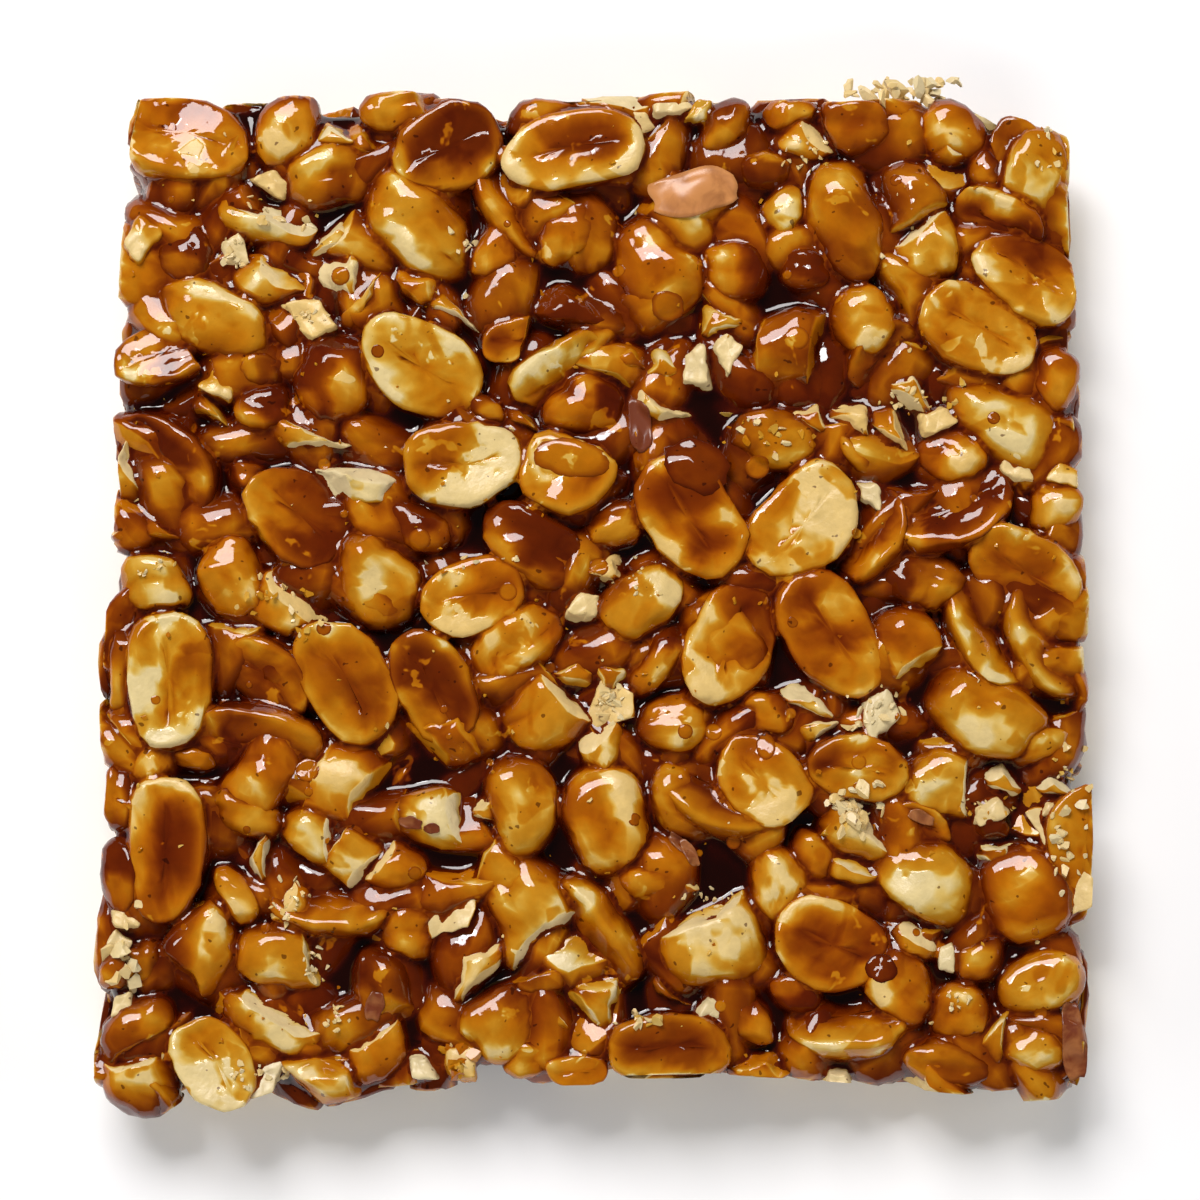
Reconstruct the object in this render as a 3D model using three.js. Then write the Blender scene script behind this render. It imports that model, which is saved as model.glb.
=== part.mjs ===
// A square of peanut brittle: roasted peanut halves set in a slab of hard amber syrup.
// Millimetres, +Z up. The slab lies on its flat foot, with the origin under the middle of its box.
// +X is its right side and +Y its back edge. It is one closed solid, because the sweet is one piece.

import * as THREE from 'three';

// Slab
const slabWidth = 98.6; // along X at the top edge
const slabDepth = 100.2; // along Y at the top edge
const syrupLevel = 7.4; // set syrup between the nuts
const nutLevel = 10.9; // crowns of the nuts that lie highest
const wallTop = 6.6; // height at which the side wall turns over into the top
const footFlare = 0.9; // how far the foot stands out past the top edge
const wallLump = 0.5; // lumps along the middle of the wall
const wallLumpStep = 0.9; // radians of wave from one border point to the next
const edgeFall = 0.7; // share of a nut's height that it loses where the wall cuts it
const cornerPull = 1.1; // how far each corner is pulled in, both ways
const cornerReach = 12; // higher keeps the pull nearer to the corner
const backShift = 0.6; // the slab lies this far back of the middle of its own box
const backRightCut = 4.6; // extra slope of the back edge at the right corner
const backRightStart = 0.33; // where that slope starts, as a share of the width

// Outline waves where pieces of nut stand out of the cut edges: [waves per side, height]
const sideWaves = [[3.2, 0.45], [7.4, 0.4], [13.1, 0.28]];

// Nuts that push the front edge out near the left corner: [x, reach, half width]
const frontBulges = [[-45.3, 2.7, 5.2], [-37.6, 2.1, 4.6], [-27.6, 2.3, 4.6], [36.5, 0.9, 6]];

// Mesh
const columns = 57; // cells along X
const rows = 58; // cells along Y
const wallRows = 4; // rings of cells down the side wall

// Nuts
const nutRise = 3.6; // height of a nut above the syrup that holds it
const domePower = 0.55; // profile of a half that lies back up
const flatPower = 0.28; // profile of a half that lies face up, with a rounded rim
const grooveDepth = 0.7; // furrow down the flat face
const grooveWidth = 0.9;
const pieceCount = 190; // broken pieces between the halves
const pieceRadius = [1.6, 3.1]; // smallest and largest
const pieceRise = [1.0, 2.7]; // lowest and highest crown above the syrup
const pieceSeed = 17;

// Halves lying back up: [x, y, length, width, turn in degrees, drop below the highest crown]
const backUpHalves = [
  [-39.4, 28, 12.8, 7.4, -24, 0.4],
  [-33.5, 32.6, 8, 6, -20, 0.8],
  [-27.2, 22, 9.5, 7.8, 80, 0.5],
  [-18.7, 38, 13.5, 8.4, -50, 0],
  [6.2, 33.6, 11.5, 8.6, -55, 0.2],
  [25.9, 38.2, 13, 7.6, -75, 0],
  [33.4, 38.2, 14, 7.4, 98, 0.3],
  [45.8, 45, 10.5, 6.8, 80, 0.8],
  [39.2, 26.7, 13, 8.6, -25, 0.2],
  [42, 17.2, 13.2, 7.8, -28, 0.3],
  [-37.4, 1.4, 8.5, 6.6, -70, 0.5],
  [-22.6, 1.2, 11.5, 7.6, -58, 0.1],
  [-6.6, 4.6, 12, 7, -32, 0.2],
  [4.6, -1, 9.4, 6.6, 38, 0.6],
  [31.6, -5.6, 8, 7.2, -70, 0.3],
  [40, -12.4, 13, 8.2, -26, 0.1],
  [-35.2, -19.9, 11, 6.5, 50, 0.4],
  [-17, -23.3, 10.5, 5.8, -8, 0.5],
  [-7.8, -22, 10.5, 7, -80, 0.2],
  [1, -23.8, 11, 8.6, 100, 0],
  [-6.9, -33.2, 14, 9, -50, 0],
  [12, -35.5, 12, 9.5, -40, 0.2],
  [33.8, -30, 10.5, 8, -25, 0.1],
  [35.4, -20, 9.5, 7.4, -15, 0.4],
  [45, -31.5, 9, 8, -60, 0.6],
  [-46, -46.6, 9.5, 8.2, -55, 0.2],
  [-38.3, -47.6, 10, 7.4, -45, 0.4],
  [-32.5, -43.6, 12, 6.2, -12, 0.2],
  [-22, -41, 12, 6, 80, 0.3],
];

// Halves lying face up, in the same columns
const faceUpHalves = [
  [-42.9, 46.2, 13, 9.2, -12, 0.6],
  [-15.6, 45.6, 11.5, 9.2, 20, 0.2],
  [-2.4, 45.2, 14.8, 8.3, 12, 0],
  [-18.2, 23.4, 13.6, 9.2, -33, 0.1],
  [20, 24.9, 9.6, 8.2, 5, 0.2],
  [44.4, 32.2, 12, 8.4, -35, 0.6],
  [-44.2, 13.6, 13.5, 9, -42, 0.3],
  [-31.4, 7.2, 12, 9.2, -42, 0.2],
  [-13.8, 12.9, 12.2, 8.6, 8, 0.1],
  [-3.1, 11.8, 10, 8.2, -12, 0.4],
  [9.6, 7.6, 14, 9.4, -58, 0],
  [21.3, 6.8, 13.2, 9.6, 50, 0.1],
  [36.8, 7.8, 13, 8, 22, 0.3],
  [44, 1.6, 12.6, 7.4, -32, 0.6],
  [-43.6, -9.4, 14.2, 8.9, 92, 0.3],
  [-25.9, -9.4, 13.6, 9, -58, 0.1],
  [13.3, -5.8, 13, 8.8, 68, 0.2],
  [23.9, -4.6, 14, 9.2, -56, 0.1],
  [-43.6, -26.6, 15.2, 8.2, 90, 0.1],
  [-25.5, -19.7, 9.5, 8, 0, 0.3],
  [12.3, -21.5, 13, 7, -22, 0.4],
  [17.4, -19.4, 9.5, 8.5, -45, 0.1],
  [26.8, -18.3, 10.6, 6.4, -8, 0.3],
  [-39.8, -36.4, 10, 7.5, 50, 0.3],
  [23.7, -36.2, 11.5, 8.6, -22, 0],
  [7.3, -46.2, 11.8, 6.6, 0, 0.2],
  [45.2, -40.2, 7.5, 6.6, -10, 0.4],
];

const radians = THREE.MathUtils.degToRad;
const mix = THREE.MathUtils.lerp;

// A repeatable stream of numbers from 0 to 1
function numberStream(seed) {
  let state = seed;
  return () => {
    state = (state * 16807) % 2147483647;
    return state / 2147483647;
  };
}

function wave(t, start) {
  let sum = 0;
  sideWaves.forEach(([count, height], index) => {
    sum += height * Math.sin(Math.PI * count * t + start * (index + 1));
  });
  return sum;
}

function bump(distance, halfWidth) {
  return Math.exp(-((distance / halfWidth) ** 2));
}

// How far the left, right, front and back edges stand out at a place along them
const leftEdge = (y) => slabWidth / 2 + wave(y / slabDepth, 1.3);
const rightEdge = (y) => slabWidth / 2 + wave(y / slabDepth, 4.1);

function frontEdge(x) {
  const bulge = frontBulges.reduce((sum, [at, reach, half]) => sum + reach * bump(x - at, half), 0);
  return slabDepth / 2 - backShift + bulge + wave(x / slabWidth, 2.4);
}

function backEdge(x) {
  const along = Math.max(0, x / slabWidth - backRightStart) / (0.5 - backRightStart);
  return slabDepth / 2 + backShift + wave(x / slabWidth, 5.6) - backRightCut * along;
}

// Place in the outline of grid position u, v, both from -1 to 1
function placeInOutline(u, v) {
  const x = u * slabWidth / 2;
  const y = v * slabDepth / 2;
  const pull = cornerPull * Math.abs(u * v) ** cornerReach;
  return new THREE.Vector2(
    mix(-leftEdge(y), rightEdge(y), (u + 1) / 2) - Math.sign(u) * pull,
    mix(-frontEdge(x), backEdge(x), (v + 1) / 2) - Math.sign(v) * pull,
  );
}

// Crown height of one nut at a point, or nothing outside it
function nutHeight(point, nut, power, groove) {
  const [x, y, length, width, turn, drop] = nut;
  const across = new THREE.Vector2(x, y).sub(point).rotateAround(new THREE.Vector2(), -radians(turn));
  const radius = (2 * across.x / length) ** 2 + (2 * across.y / width) ** 2;
  if (radius >= 1) {
    return 0;
  }
  const furrow = groove * bump(across.y, grooveWidth) * (1 - radius);
  return nutLevel - drop - nutRise + nutRise * (1 - radius) ** power - furrow;
}

function scatterPieces() {
  const next = numberStream(pieceSeed);
  return Array.from({ length: pieceCount }, () => ({
    place: new THREE.Vector2((next() - 0.5) * slabWidth, (next() - 0.5) * slabDepth),
    radius: mix(...pieceRadius, next()),
    rise: mix(...pieceRise, next()),
  }));
}

const brokenPieces = scatterPieces();

function pieceHeight(point, piece) {
  const fall = 1 - (point.distanceTo(piece.place) / piece.radius) ** 2;
  return fall > 0 ? syrupLevel + piece.rise * Math.sqrt(fall) : 0;
}

function topHeight(point) {
  const heights = [
    ...backUpHalves.map((nut) => nutHeight(point, nut, domePower, 0)),
    ...faceUpHalves.map((nut) => nutHeight(point, nut, flatPower, grooveDepth)),
    ...brokenPieces.map((piece) => pieceHeight(point, piece)),
  ];
  return Math.max(syrupLevel, ...heights);
}

// The top: a grid of lumps that drops to the top of the wall along the outline
function topGrid() {
  const points = [];
  for (let j = 0; j <= rows; j += 1) {
    for (let i = 0; i <= columns; i += 1) {
      const place = placeInOutline(2 * i / columns - 1, 2 * j / rows - 1);
      const atEdge = i === 0 || j === 0 || i === columns || j === rows;
      const height = topHeight(place);
      points.push(place.x, place.y, atEdge ? mix(height, wallTop, edgeFall) : height);
    }
  }
  return points;
}

// Numbers of the grid's border points, counterclockwise seen from above
function borderRing() {
  const at = (i, j) => j * (columns + 1) + i;
  const ring = [];
  for (let i = 0; i < columns; i += 1) ring.push(at(i, 0));
  for (let j = 0; j < rows; j += 1) ring.push(at(columns, j));
  for (let i = columns; i > 0; i -= 1) ring.push(at(i, rows));
  for (let j = rows; j > 0; j -= 1) ring.push(at(0, j));
  return ring;
}

function slabGeometry() {
  const points = topGrid();
  const faces = [];
  for (let j = 0; j < rows; j += 1) {
    for (let i = 0; i < columns; i += 1) {
      const a = j * (columns + 1) + i;
      const c = a + columns + 1;
      faces.push(a, a + 1, c + 1, a, c + 1, c);
    }
  }

  // The wall: rings from the border down to the foot, leaning out and a little lumpy
  const border = borderRing();
  let upper = border;
  for (let ring = 1; ring <= wallRows; ring += 1) {
    const down = ring / wallRows;
    const first = points.length / 3;
    border.forEach((top, k) => {
      const [x, y, z] = points.slice(3 * top, 3 * top + 3);
      const lump = wallLump * Math.sin(k * wallLumpStep) * Math.sin(Math.PI * down);
      const grow = 1 + (footFlare * down + lump) / Math.hypot(x, y);
      points.push(x * grow, y * grow, z * (1 - down));
    });
    const lower = border.map((_, k) => first + k);
    border.forEach((_, k) => {
      const n = (k + 1) % border.length;
      faces.push(upper[k], lower[k], lower[n], upper[k], lower[n], upper[n]);
    });
    upper = lower;
  }

  // The flat foot
  const middle = points.length / 3;
  points.push(0, 0, 0);
  upper.forEach((from, k) => faces.push(middle, upper[(k + 1) % upper.length], from));

  const geometry = new THREE.BufferGeometry();
  geometry.setAttribute('position', new THREE.Float32BufferAttribute(points, 3));
  geometry.setIndex(faces);
  geometry.computeBoundingBox();
  const centre = geometry.boundingBox.getCenter(new THREE.Vector3());
  geometry.translate(-centre.x, -centre.y, 0);
  geometry.computeVertexNormals();
  return geometry;
}

const brittle = new THREE.MeshStandardMaterial({ color: 0x9a5a18, roughness: 0.18, metalness: 0 });
const slab = new THREE.Mesh(slabGeometry(), brittle);
slab.name = 'peanut_brittle_slab';

const part = new THREE.Group();
part.add(slab);

export default part;
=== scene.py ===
import math
import random

import bpy
import numpy as np
from mathutils import Euler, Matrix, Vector, noise
from mathutils.bvhtree import BVHTree


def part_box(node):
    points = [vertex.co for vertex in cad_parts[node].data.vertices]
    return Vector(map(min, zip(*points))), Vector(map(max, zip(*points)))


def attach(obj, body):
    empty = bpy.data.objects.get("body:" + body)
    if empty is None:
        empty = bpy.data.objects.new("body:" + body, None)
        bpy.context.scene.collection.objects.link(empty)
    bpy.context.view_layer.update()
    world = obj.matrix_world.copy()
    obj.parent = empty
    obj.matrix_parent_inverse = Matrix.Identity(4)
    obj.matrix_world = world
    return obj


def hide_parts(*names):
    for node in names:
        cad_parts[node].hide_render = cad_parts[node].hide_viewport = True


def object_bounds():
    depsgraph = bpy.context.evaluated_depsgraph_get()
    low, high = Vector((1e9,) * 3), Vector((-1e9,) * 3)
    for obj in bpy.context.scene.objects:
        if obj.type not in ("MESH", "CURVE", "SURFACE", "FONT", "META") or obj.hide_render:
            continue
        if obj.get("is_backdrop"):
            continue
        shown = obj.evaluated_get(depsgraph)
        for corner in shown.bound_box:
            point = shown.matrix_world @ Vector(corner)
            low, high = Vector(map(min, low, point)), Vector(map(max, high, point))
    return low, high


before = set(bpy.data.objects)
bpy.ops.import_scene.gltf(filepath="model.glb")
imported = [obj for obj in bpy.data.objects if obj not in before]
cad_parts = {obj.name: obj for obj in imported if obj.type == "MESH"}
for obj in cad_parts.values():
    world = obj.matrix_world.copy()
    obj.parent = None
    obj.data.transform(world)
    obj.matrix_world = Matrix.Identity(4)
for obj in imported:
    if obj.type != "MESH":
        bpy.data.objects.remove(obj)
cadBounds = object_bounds()
mm = 0.001
slabNode = "peanut_brittle_slab"
lowCorner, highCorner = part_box(slabNode)
layoutShift = (0.35, 0.5)  # mm from the middle of the nut layout to the middle of the slab's box


# helpers: selecting, mesh points and point attributes

def deselectAll():
    if bpy.context.object and bpy.context.object.mode != "OBJECT":
        bpy.ops.object.mode_set(mode="OBJECT")
    bpy.ops.object.select_all(action="DESELECT")


def activate(piece):
    deselectAll()
    piece.select_set(True)
    bpy.context.view_layer.objects.active = piece


def editMode(on=True):
    bpy.ops.object.mode_set(mode="EDIT" if on else "OBJECT")


def pickFaces(piece, test):
    # selects the faces whose centre and normal pass, and stays in edit mode
    editMode(False)
    piece.data.vertices.foreach_set("select", [False] * len(piece.data.vertices))
    piece.data.edges.foreach_set("select", [False] * len(piece.data.edges))
    for polygon in piece.data.polygons:
        polygon.select = test(polygon.center, polygon.normal)
    editMode()
    bpy.ops.mesh.select_mode(type="FACE")


def pointsOf(mesh):
    points = np.empty(len(mesh.vertices) * 3)
    mesh.vertices.foreach_get("co", points)
    return points.reshape(-1, 3)


def normalsOf(mesh):
    normals = np.empty(len(mesh.vertices) * 3)
    mesh.vertices.foreach_get("normal", normals)
    return normals.reshape(-1, 3)


def setPoints(mesh, points):
    mesh.vertices.foreach_set("co", np.ascontiguousarray(points, dtype=np.float64).ravel())
    mesh.update()


def setAttribute(mesh, name, values):
    attribute = mesh.attributes.get(name) or mesh.attributes.new(name, "FLOAT", "POINT")
    attribute.data.foreach_set("value", np.asarray(values, dtype=np.float32))


def getAttribute(mesh, name):
    values = np.zeros(len(mesh.vertices), dtype=np.float32)
    if mesh.attributes.get(name):
        mesh.attributes[name].data.foreach_get("value", values)
    return values


def smoothShade(piece):
    activate(piece)
    bpy.ops.object.shade_smooth()


def swellAt(at):
    # three unlike noises as one vector
    return Vector((noise.noise(at + Vector((9.3, -1.5, -8.0))), noise.noise(at),
                   noise.noise(at + Vector((-6.2, 8.4, 3.7)))))


def squarer(across, up, power):
    # how far a circle must be let out to become a rounder square
    turn = np.arctan2(up, across)
    return (np.abs(np.cos(turn)) ** power + np.abs(np.sin(turn)) ** power) ** (1 / power)


# nut shapes, each modelled once inside a box of size 1 with its crown at z = 0

openHalfShape = {
    "segments": 36, "rings": 18, "squareness": 2.3,
    "faceHeight": 0.04,  # where the egg is cut open, above its widest place
    # where syrup gathers: reach along and across; breadth, half length and fading end of the furrow
    "hollow": (0.47, 0.45), "furrow": (0.07, 0.40, 0.08),
    "steps": [  # rings across the face: rise, then how far each draws in along and across
        (0.060, 0.975, 0.965),
        (0.035, 0.960, 0.935),
        (0.008, 0.950, 0.890),
        (-0.006, 0.940, 0.800),
        (-0.004, 0.930, 0.660),
        (-0.006, 0.880, 0.500),
        (-0.014, 0.860, 0.400),
    ],
}


def makeOpenHalf(settings):
    # a half that shows its inner face: rounded rim, shallow hollow, furrow along the middle
    deselectAll()
    bpy.ops.mesh.primitive_uv_sphere_add(
        segments=settings["segments"], ring_count=settings["rings"], radius=0.5)
    half = bpy.context.object
    half.name = "openHalf"
    editMode()
    bpy.ops.transform.resize(value=(1, 1, 2), center_override=(0, 0, 0))
    bpy.ops.mesh.bisect(plane_co=(0, 0, settings["faceHeight"]), plane_no=(0, 0, 1),
                        clear_outer=True, use_fill=True)
    pickFaces(half, lambda centre, normal: normal.z > 0.99 and centre.z > 0.9 * settings["faceHeight"])
    for rise, along, across in settings["steps"]:
        bpy.ops.mesh.extrude_region_move(TRANSFORM_OT_translate={"value": (0, 0, rise)})
        bpy.ops.transform.resize(value=(along, across, 1), center_override=(0, 0, 0))
    bpy.ops.mesh.poke()
    editMode(False)
    points = pointsOf(half.data)
    points[:, :2] /= squarer(points[:, 0], points[:, 1], settings["squareness"])[:, None]
    points[:, 2] -= points[:, 2].max()
    setPoints(half.data, points)
    onFace = points[:, 2] > -0.25
    reachX, reachY = settings["hollow"]
    breadth, longHalf, fade = settings["furrow"]
    reach = (points[:, 0] / reachX) ** 2 + (points[:, 1] / reachY) ** 2
    furrow = np.exp(-(points[:, 1] / breadth) ** 2)
    furrow = furrow * np.clip((longHalf - np.abs(points[:, 0])) / fade, 0, 1)
    well = 0.5 * np.clip(1.6 - reach * 1.6, 0, 1) + 0.5 * furrow
    setAttribute(half.data, "well", np.where(onFace, well, 0))
    setAttribute(half.data, "bare", np.zeros(len(points)))
    return half


roundHalfShape = {"segments": 32, "rings": 20, "fullness": 2.4, "squareness": 2.5}


def makeRoundHalf(settings):
    # a nut seen from its back: a full egg lying along X
    deselectAll()
    bpy.ops.mesh.primitive_uv_sphere_add(
        segments=settings["segments"], ring_count=settings["rings"], radius=0.5,
        rotation=(0, math.pi / 2, 0))
    nut = bpy.context.object
    nut.name = "roundHalf"
    bpy.ops.object.transform_apply(location=False, rotation=True, scale=False)
    points = pointsOf(nut.data)
    along = np.clip(2 * np.abs(points[:, 0]), 0, 1)
    thin = np.sqrt(np.clip(1 - along ** 2, 1e-9, 1))
    full = np.sqrt(np.clip(1 - along ** settings["fullness"], 0, 1))
    points[:, 1:] *= (full / thin)[:, None]
    points[:, 1:] /= squarer(points[:, 1], points[:, 2], settings["squareness"])[:, None]
    points[:, 2] -= 0.5
    setPoints(nut.data, points)
    setAttribute(nut.data, "well", np.zeros(len(points)))
    setAttribute(nut.data, "bare", np.zeros(len(points)))
    return nut


# where nuts snap: how far from the middle, and which way each break faces
breaks = {
    "snapped": [(0.22, (1, 0.2, 0.25))],
    "snappedTwice": [(0.24, (1, -0.25, 0.2)), (0.22, (-1, 0.15, 0.1))],
    "chipped": [(0.22, (0.5, 0.8, 0.6))],
    "wedge": [(0.10, (0.4, 1, 0.2)), (0.16, (0.5, -1, 0.3))],
    "shard": [(0.06, (0.2, 1, 0.35)), (0.24, (-1, -0.3, 0.3)), (0.30, (1, -0.2, 0.2))],
    "lump": [(0.26, (1, 0.5, 0.4)), (0.28, (-0.6, 0.8, 0.5)), (0.34, (-0.3, -1, 0.3))],
    "split": [(0.14, (0.1, 0.35, 1)), (0.30, (1, -0.25, 0.1)), (0.32, (-1, -0.4, 0.1)),
              (0.34, (0.2, 1, 0.3))],
    "chip": [(0.24, (1, 0.15, 0.1)), (0.24, (-1, 0.3, 0.15)), (0.24, (0.1, 1, 0.2)), (0.27, (0, -1, 0.15)),
             (0.24, (0.12, 0.05, 1))],
}
# smoothing passes
softened = {"snapped": 1, "snappedTwice": 1, "wedge": 4, "shard": 5, "lump": 8, "split": 1, "chip": 7}
breakFinish = {"rings": [(0.012, 0.96), (0.004, 0.86), (0.0, 0.70), (0.0, 0.45)], "grain": 0.010,
               "bareFrom": 0.003}


def makeBroken(name, source, cuts, finish, softness=0):
    # a nut with ends or sides snapped off, each break a flat grainy face with a soft edge
    activate(source)
    bpy.ops.object.duplicate()
    piece = bpy.context.object
    piece.name = name
    middle = Vector((0, 0, -0.5))
    planes = [(middle + Vector(way).normalized() * distance, Vector(way).normalized())
              for distance, way in cuts]
    for place, way in planes:
        editMode()
        bpy.ops.mesh.select_all(action="SELECT")
        bpy.ops.mesh.bisect(plane_co=place, plane_no=way, clear_outer=True, use_fill=True)
        pickFaces(piece, lambda centre, normal: normal.dot(way) > 0.995
                  and abs((centre - place).dot(way)) < 1e-4)
        editMode(False)
        chosen = [polygon.center.copy() for polygon in piece.data.polygons if polygon.select]
        editMode()
        heart = sum(chosen, Vector()) / max(1, len(chosen))
        for rise, shrink in finish["rings"]:
            heart = heart + way * rise
            bpy.ops.mesh.extrude_region_move(TRANSFORM_OT_translate={"value": tuple(way * rise)})
            bpy.ops.transform.resize(value=(shrink, shrink, shrink), center_override=tuple(heart))
        bpy.ops.mesh.poke()
        editMode(False)
    points = pointsOf(piece.data)
    bare = np.zeros(len(points))
    for place, way in planes:
        height = (points - np.array(place)) @ np.array(way)
        bare = np.maximum(bare, np.clip((height - finish["bareFrom"]) / 0.006, 0, 1))
    if softness:
        editMode()
        bpy.ops.mesh.select_all(action="SELECT")
        bpy.ops.mesh.vertices_smooth(factor=0.5, repeat=softness)
        editMode(False)
    points, normals = pointsOf(piece.data), normalsOf(piece.data)
    for index in np.nonzero(bare > 0.5)[0]:
        at = Vector(points[index])
        grain = noise.noise(at * 9 + Vector((3, 1, 7))) + 0.6 * noise.noise(at * 23)
        points[index] += normals[index] * grain * finish["grain"]
    low, high = points.min(0), points.max(0)
    points -= [(low[0] + high[0]) / 2, (low[1] + high[1]) / 2, high[2]]
    points /= (high - low)
    setPoints(piece.data, np.round(points, 5))  # so that every run gives the same piece
    setAttribute(piece.data, "bare", bare)
    setAttribute(piece.data, "well", getAttribute(piece.data, "well") * (1 - bare))
    return piece


shapes = {}
shapes["open"] = makeOpenHalf(openHalfShape)
shapes["round"] = makeRoundHalf(roundHalfShape)
for cutName, cuts in breaks.items():
    shapes[cutName] = makeBroken(cutName, shapes["round"], cuts, breakFinish, softened.get(cutName, 0))
shapes["openSnapped"] = makeBroken("openSnapped", shapes["open"], [(0.22, (1, 0.2, 0.05))], breakFinish)
plainRoundShape = {"segments": 20, "rings": 12, "fullness": 2.4, "squareness": 2.5}
shapes["plainRound"] = makeRoundHalf(plainRoundShape)
for cutName in ("snapped", "chipped"):
    plainName = "plain" + cutName.title()
    shapes[plainName] = makeBroken(plainName, shapes["plainRound"], breaks[cutName], breakFinish)
print("nut shapes modelled:", {name: len(shape.data.polygons) for name, shape in shapes.items()})


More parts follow.
